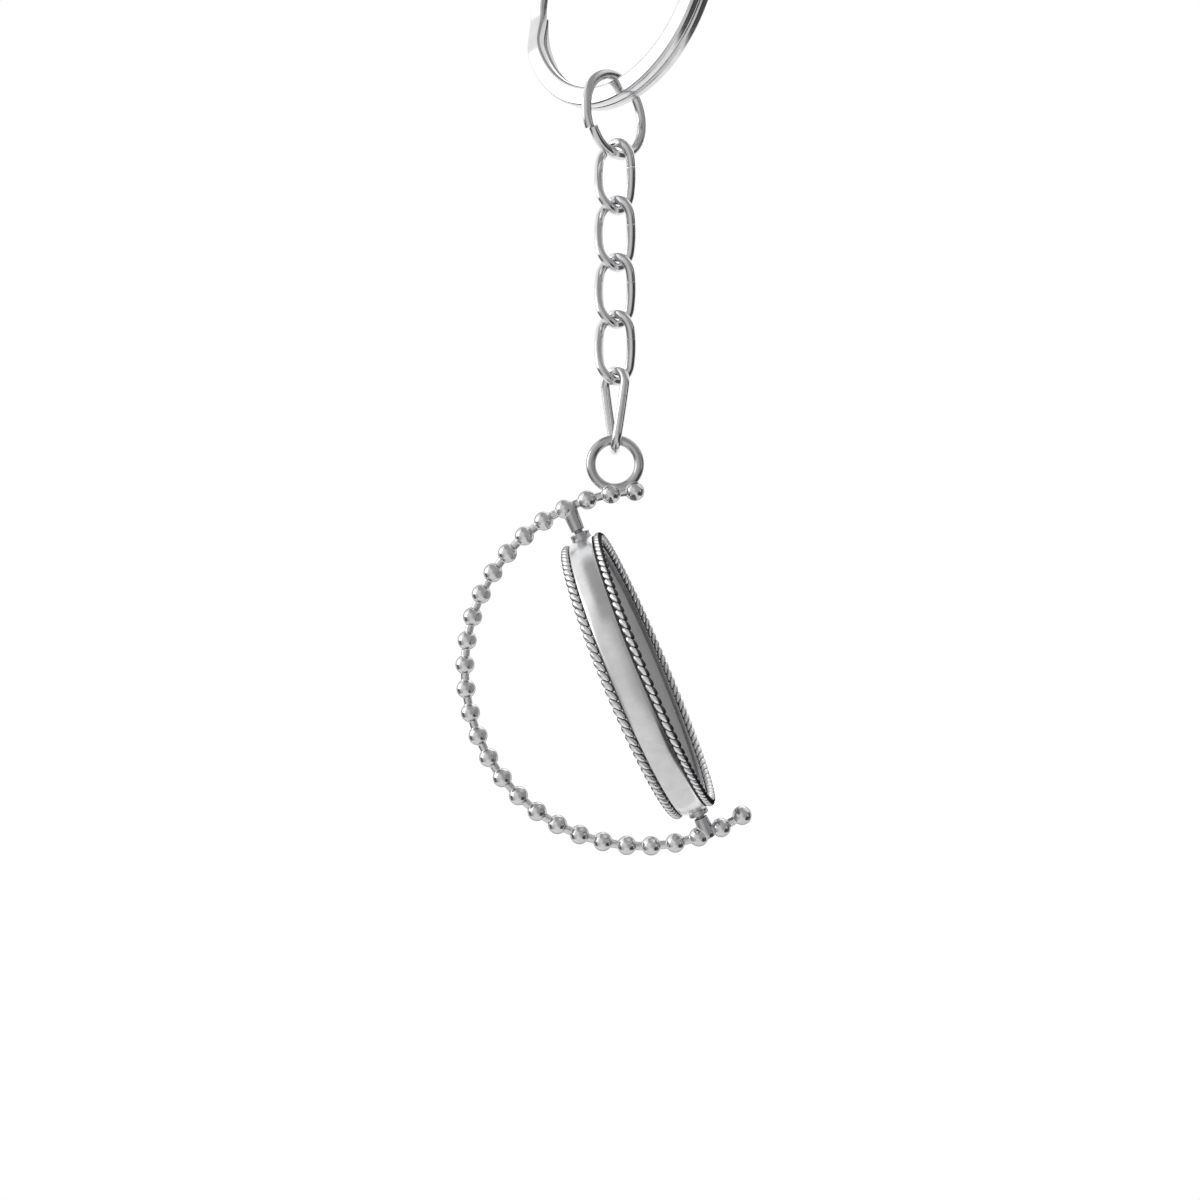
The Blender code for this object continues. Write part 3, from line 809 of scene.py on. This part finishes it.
def make_disc_boss(sizes, material, word, way):
    """A barrel-shaped collar on the band, with the pin's hole in its outer face."""
    centre, up, _ = pivot_frame()
    band = sizes.band / 2
    root = band - sizes.disc_boss_height / 2
    face = boss_reach(sizes)[0]
    outer, hole = sizes.disc_boss / 2, sizes.pin / 2 + sizes.pin_play
    waist, edge = outer * 0.94, sizes.disc_boss_height / 5
    profile = [(hole, root), (outer, root), (outer, band), (waist, band + edge)]
    profile += arc((outer - edge, face - edge), edge, -30, 90, steps=6)
    profile += [(hole + edge / 2, face), (hole, face - edge / 2)]
    bm = lathe(profile, steps=64)
    piece(f"{word}_disc_collar", bm, aimed(up * way, centre), "disc", material)


def strand_groove_shade(crest, across, flanks):
    """How much painted shade a point of a rope gets: between two strands, or on a flank of its own strand.

    across is the turn round the rope: 0 away from the disc's middle, and a quarter turn away from the band.
    """
    inside, outside = flanks
    outer = outside * math.sin(across) if math.cos(across) > FLANK_SHADE_END else 0
    return max(1 - crest, -inside * math.sin(across), outer)


def make_ropes(sizes, material):
    """A rope of leaning lobes in the corner of the rim on each face. Both ropes lean the same way."""
    rope = sizes.rope / 2
    radius = sizes.tray / 2 + sizes.lip + sizes.seat_gap + rope
    height = sizes.band_width / 2 + sizes.seat_gap + rope
    lobes = round(math.tau * radius / sizes.rope_lay)
    per_lobe, sides = 14, 22
    for word, side in (("front", 1), ("rear", -1)):
        rings, groove_shades = [], []
        for step in range(lobes * per_lobe):
            crest = math.sin(math.pi * (step % per_lobe) / per_lobe) ** STRAND_POWER
            swell = rope * (sizes.rope_valley + (1 - sizes.rope_valley) * crest)
            ring = []
            for corner in range(sides):
                across = math.tau * corner / sides
                rise = swell * math.sin(across)
                lean = math.tan(sizes.rope_slant) * side * rise / radius
                place = polar(radius + swell * math.cos(across), math.tau * step / (lobes * per_lobe) + lean)
                ring.append(place + UP * side * (height + rise))
                # Painted shade, kept for each point: between the strands and on their flanks
                groove_shades.append(strand_groove_shade(crest, across, ROPE_FLANK_SHADES[word]))
            rings.append(ring)
        obj = piece(f"{word}_rope", skin(rings, closed=True), disc_place(), "disc",
                    material, sharp=80)
        obj.data.attributes.new("groove", "FLOAT", "POINT").data.foreach_set("value", groove_shades)
        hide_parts(f"{word}_rope_border")


def make_inserts(sizes, material, glue):
    """Bare round blanks with a rolled edge, over the glue pads of the frame."""
    radius, edge = sizes.insert / 2, sizes.insert_thickness / 3
    base = sizes.web / 2 + 2 * sizes.seat_gap + sizes.pad_thickness
    top = base + sizes.insert_thickness
    rounds = 12
    for word, side in (("front", 1), ("rear", -1)):
        profile = [(0, base), (radius - edge / 2, base)]
        profile += arc((radius - edge, top - edge), edge, 0, 90, steps=6)
        profile += [(radius * k / rounds, top) for k in reversed(range(rounds))]
        bm = lathe([(r, side * h) for r, h in profile], steps=192)
        obj = piece(f"{word}_blank", bm, disc_place(), "disc", material)
        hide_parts(f"{word}_insert")
        pad = frame["nodes"][f"{word}_adhesive_pad"]
        pad.data.materials.clear()
        pad.data.materials.append(glue)


def screens(nodes, z, sideways):
    """The light in front: two pale screens, one high and one low, slightly dimmer between them.

    It is half as bright on the right, and white at the far left.
    """
    from_horizon = nodes.math("ABSOLUTE", nodes.math("ADD", z, HORIZON_DROP))
    room = nodes.level(FRONT_LEVEL, HORIZON_LEVEL, nodes.fall(from_horizon, HORIZON_EDGE))
    dusk = nodes.math("MULTIPLY", nodes.rise(sideways, DUSK_SIDE_EDGE), nodes.rise(z, DUSK_LOW_EDGE))
    room = nodes.level(room, nodes.math("MULTIPLY", room, RIGHT_SHARE), dusk)
    return nodes.level(room, 1.0, nodes.fall(sideways, FAR_SIDE_EDGE))


def canopy(nodes, y, z, sideways, before_rear):
    """How much a direction meets the grey canopy overhead, which leaves a strip open on the left."""
    lengthwise = nodes.math("MULTIPLY", nodes.rise(z, CANOPY_LOW_EDGE), nodes.rise(y, CANOPY_FRONT_EDGE))
    across = nodes.math("MULTIPLY", nodes.rise(sideways, CANOPY_SIDE_EDGE), before_rear)
    return nodes.math("MULTIPLY", lengthwise, across)


def dark_corners(nodes, x, y, z):
    """How much a direction meets the dark corner low in front on each side. The left one is fainter."""
    folded = nodes.add("ShaderNodeCombineXYZ", {"X": nodes.math("ABSOLUTE", x), "Y": y, "Z": z})
    corner = nodes.rise(nodes.towards(folded.outputs["Vector"], CORNER_DIRECTION), CORNER_EDGE)
    return nodes.math("MULTIPLY", corner, nodes.remap(x, *MIDDLE_EDGE, LEFT_CORNER_SHARE, 1))


def side_walls(nodes, x, y, z):
    """How much a direction meets the dark wall on each side. The left one ends at eye level."""
    beside = nodes.rise(nodes.math("ABSOLUTE", x), WALL_SIDE_EDGE)
    from_middle = nodes.math("ABSOLUTE", nodes.math("SUBTRACT", y, WALL_MIDDLE))
    wall = nodes.math("MULTIPLY", beside, nodes.fall(from_middle, WALL_DEPTH_EDGE))
    low_or_right = nodes.math("MAXIMUM", nodes.remap(x, *MIDDLE_EDGE, 0, 1), nodes.fall(z, WALL_TOP_EDGE))
    return nodes.math("MULTIPLY", wall, low_or_right)


def make_world():
    """The studio round the object, as metal mirrors it, painted by direction. The camera sees only white.

    A white backdrop wraps round the rear and both sides, and pale screens stand in front. A grey canopy hangs
    overhead. Each side has a dark corner low in front and a dark wall. A bright window is high at the right
    rear.
    """
    world = bpy.data.worlds.new("studio")
    bpy.context.scene.world = world
    world.use_nodes = True
    world.node_tree.nodes.clear()
    nodes = Nodes(world.node_tree)
    direction = nodes.add("ShaderNodeTexCoord").outputs["Generated"]
    x, y, z = nodes.add("ShaderNodeSeparateXYZ", {"Vector": direction}).outputs
    sideways = nodes.towards(direction, DISC_FACE)
    before_rear = nodes.fall(y, REAR_EDGE)
    light = nodes.level(screens(nodes, z, sideways), 1.0, nodes.rise(y, BACKDROP_EDGE))
    light = nodes.level(light, CANOPY_LEVEL, canopy(nodes, y, z, sideways, before_rear))
    light = nodes.level(light, CORNER_LEVEL, dark_corners(nodes, x, y, z))
    light = nodes.level(light, WALL_LEVEL, side_walls(nodes, x, y, z))
    window = nodes.rise(nodes.towards(direction, WINDOW_DIRECTION), WINDOW_EDGE)
    light = nodes.level(light, WINDOW_LEVEL, window)
    path = nodes.add("ShaderNodeLightPath").outputs
    seen = nodes.math("MAXIMUM", path["Is Camera Ray"], path["Is Transmission Ray"])
    mirrored = nodes.math("MULTIPLY", path["Is Glossy Ray"], nodes.math("SUBTRACT", 1.0, before_rear))
    strength = nodes.math("MAXIMUM", nodes.math("MAXIMUM", seen, mirrored), light)
    background = nodes.add("ShaderNodeBackground", {"Color": (1, 1, 1, 1), "Strength": strength})
    output = nodes.add("ShaderNodeOutputWorld")
    nodes.link(background.outputs[0], output.inputs[0])


def make_floor(tint):
    """A pale round floor well below the keychain."""
    radius, top, thick = 0.17, -0.26, 0.002
    bm = lathe([(0, top), (radius, top), (radius, top - thick), (0, top - thick)], steps=96)
    bmesh.ops.recalc_face_normals(bm, faces=bm.faces)
    mesh = to_mesh("floor", bm)
    mesh.materials.append(cloudy_material("pale_floor", tint, scale=60.0, least=0.985, rough=0.6)[0])
    floor = add_object("floor", mesh)


def make_lamp(name, place, target, size, power):
    """A square soft lamp that faces the target."""
    lamp = bpy.data.lights.new(name, "AREA")
    lamp.size = size
    lamp.energy = power
    obj = add_object(name, lamp)
    obj.location = place
    obj.rotation_euler = (target - Vector(place)).to_track_quat("-Z", "Y").to_euler()


def make_camera():
    """A level camera close to the keychain, with the photograph's frame of 120 mm in the crescent's plane."""
    distance, field = 0.120, 0.120
    frame_middle = Vector((-0.0015, 0, -0.07305))
    camera = bpy.data.cameras.new("camera")
    camera.sensor_width = 36
    camera.lens = camera.sensor_width * distance / field
    camera.clip_start = distance / 100
    obj = add_object("camera", camera)
    obj.location = frame_middle - Vector((0, distance, 0))
    obj.rotation_euler = (math.pi / 2, 0, 0)
    bpy.context.scene.camera = obj


def finish(name):
    """A colour of the finishes, as set in the scene."""
    return tuple(getattr(bpy.context.scene.keychain_finishes, name))


def shared(name, maker, colour_name):
    """A material that several pieces share, made the first time that it is asked for."""
    return bpy.data.materials.get(name) or maker(name, finish(colour_name))


class KEYCHAIN_OT_split_ring(bpy.types.Operator):
    """Make the split ring from two turns of spring wire"""

    bl_idname = "keychain.split_ring"
    bl_label = "Split ring"

    def execute(self, context):
        make_split_ring(context.scene.keychain_wire, wire_material("spring_wire", finish("ring")))
        return {"FINISHED"}


class KEYCHAIN_OT_connector(bpy.types.Operator):
    """Make the jump ring that joins the chain to the split ring"""

    bl_idname = "keychain.connector"
    bl_label = "Connector ring"

    def execute(self, context):
        make_connector(context.scene.keychain_wire, shared("drawn_nickel_wire", wire_material, "wire"))
        return {"FINISHED"}


class KEYCHAIN_OT_links(bpy.types.Operator):
    """Make the twisted links and the pendant link"""

    bl_idname = "keychain.links"
    bl_label = "Chain links"

    def execute(self, context):
        make_links(context.scene.keychain_wire, shared("drawn_nickel_wire", wire_material, "wire"))
        return {"FINISHED"}


class KEYCHAIN_OT_crescent(bpy.types.Operator):
    """Make the beaded crescent with its loop and bosses"""

    bl_idname = "keychain.crescent"
    bl_label = "Crescent frame"

    def execute(self, context):
        fitting = shared("fitting_casting", fitting_material, "fitting")
        beads = cast_material("bead_casting", finish("casting"), rough=0.14)
        make_crescent(context.scene.keychain_pendant, beads, fitting)
        return {"FINISHED"}


class KEYCHAIN_OT_pins(bpy.types.Operator):
    """Make the two pivot pins"""

    bl_idname = "keychain.pins"
    bl_label = "Pivot pins"

    def execute(self, context):
        # The pins' steel is darkened as painted shade for the gap between the bosses
        steel = metal("pin_steel", finish("pin"), rough=0.25, marks=(6.0, 40000.0, 1.0), mark_depth=0.000004)
        make_pins(context.scene.keychain_pendant, steel)
        return {"FINISHED"}


class KEYCHAIN_OT_rim(bpy.types.Operator):
    """Make the disc's rim with its band, trays and collars"""

    bl_idname = "keychain.rim"
    bl_label = "Disc rim"

    def execute(self, context):
        band = metal("satin_band", finish("band"), rough=0.20, spread=0.06, marks=(400.0, 40.0, 1.0),
                     mark_depth=0.0000015)
        # Dull metal inside the trays, also painted as shade on the corner under each rope
        tray = metal("dull_tray", finish("tray"), rough=0.42, spread=0.15, marks=(400.0, 300.0, 1.0),
                     blotch=0.1, glance=0.3)
        collar = shared("fitting_casting", fitting_material, "fitting")
        make_rim(context.scene.keychain_pendant, band, tray, collar)
        return {"FINISHED"}


class KEYCHAIN_OT_ropes(bpy.types.Operator):
    """Make the rope borders"""

    bl_idname = "keychain.ropes"
    bl_label = "Rope borders"

    def execute(self, context):
        # The rope is painted darker between its strands and on their flanks, as shade
        rope = cast_material("rope_casting", finish("rope"), rough=0.30, glance=0.0, groove=finish("recess"))
        make_ropes(context.scene.keychain_pendant, rope)
        return {"FINISHED"}


class KEYCHAIN_OT_inserts(bpy.types.Operator):
    """Make the bare inserts and colour the glue under them"""

    bl_idname = "keychain.inserts"
    bl_label = "Inserts"

    def execute(self, context):
        blank = metal("bare_aluminium", finish("insert"), rough=0.42, spread=0.15, marks=(400.0, 40.0, 1.0),
                      mark_depth=0.000002, blotch=0.05, glance=0.3)
        make_inserts(context.scene.keychain_pendant, blank, glue_material("dried_glue", finish("glue")))
        return {"FINISHED"}


class KEYCHAIN_OT_stage(bpy.types.Operator):
    """Set the floor, backdrop, lamps and camera"""

    bl_idname = "keychain.stage"
    bl_label = "Stage"

    def execute(self, context):
        make_world()
        make_floor(finish("floor"))
        target = Vector((0, 0, -0.075))
        make_lamp("key_lamp", (-0.45, 0.02, 0.06), target, size=0.30, power=0.50)
        make_lamp("back_lamp", (0.10, 0.45, 0.25), target, size=0.30, power=0.30)
        make_camera()
        return {"FINISHED"}


STEPS = (
    KEYCHAIN_OT_split_ring,
    KEYCHAIN_OT_connector,
    KEYCHAIN_OT_links,
    KEYCHAIN_OT_crescent,
    KEYCHAIN_OT_pins,
    KEYCHAIN_OT_rim,
    KEYCHAIN_OT_ropes,
    KEYCHAIN_OT_inserts,
    KEYCHAIN_OT_stage,
)


class KEYCHAIN_PT_panel(bpy.types.Panel):
    """Lists the keychain's pieces in the sidebar"""

    bl_idname = "KEYCHAIN_PT_panel"
    bl_label = "Rotating disc keychain"
    bl_space_type = "VIEW_3D"
    bl_region_type = "UI"
    bl_category = "Keychain"

    def draw(self, context):
        for step in STEPS:
            self.layout.operator(step.bl_idname)
        for name, _ in GROUPS:
            group = getattr(context.scene, name)
            column = self.layout.column()
            for key in group.bl_rna.properties.keys():
                if key not in ("rna_type", "name"):
                    column.prop(group, key)


GROUPS = (
    ("keychain_wire", KeychainWireSizes),
    ("keychain_pendant", KeychainPendantSizes),
    ("keychain_finishes", KeychainFinishes),
)


def register():
    """Adds the properties, the operators and the panel to Blender."""
    for name, group in GROUPS:
        bpy.utils.register_class(group)
        setattr(bpy.types.Scene, name, PointerProperty(type=group))
    for kind in (*STEPS, KEYCHAIN_PT_panel):
        bpy.utils.register_class(kind)


def unregister():
    """Takes out again what register added."""
    for kind in reversed((*STEPS, KEYCHAIN_PT_panel)):
        bpy.utils.unregister_class(kind)
    for name, group in reversed(GROUPS):
        delattr(bpy.types.Scene, name)
        bpy.utils.unregister_class(group)


def main():
    """Runs every operator in order, as the panel's buttons would."""
    register()
    bpy.context.scene.view_settings.view_transform = "Standard"
    for step in STEPS:
        group, name = step.bl_idname.split(".")
        getattr(getattr(bpy.ops, group), name)()


if __name__ == "__main__":
    main()
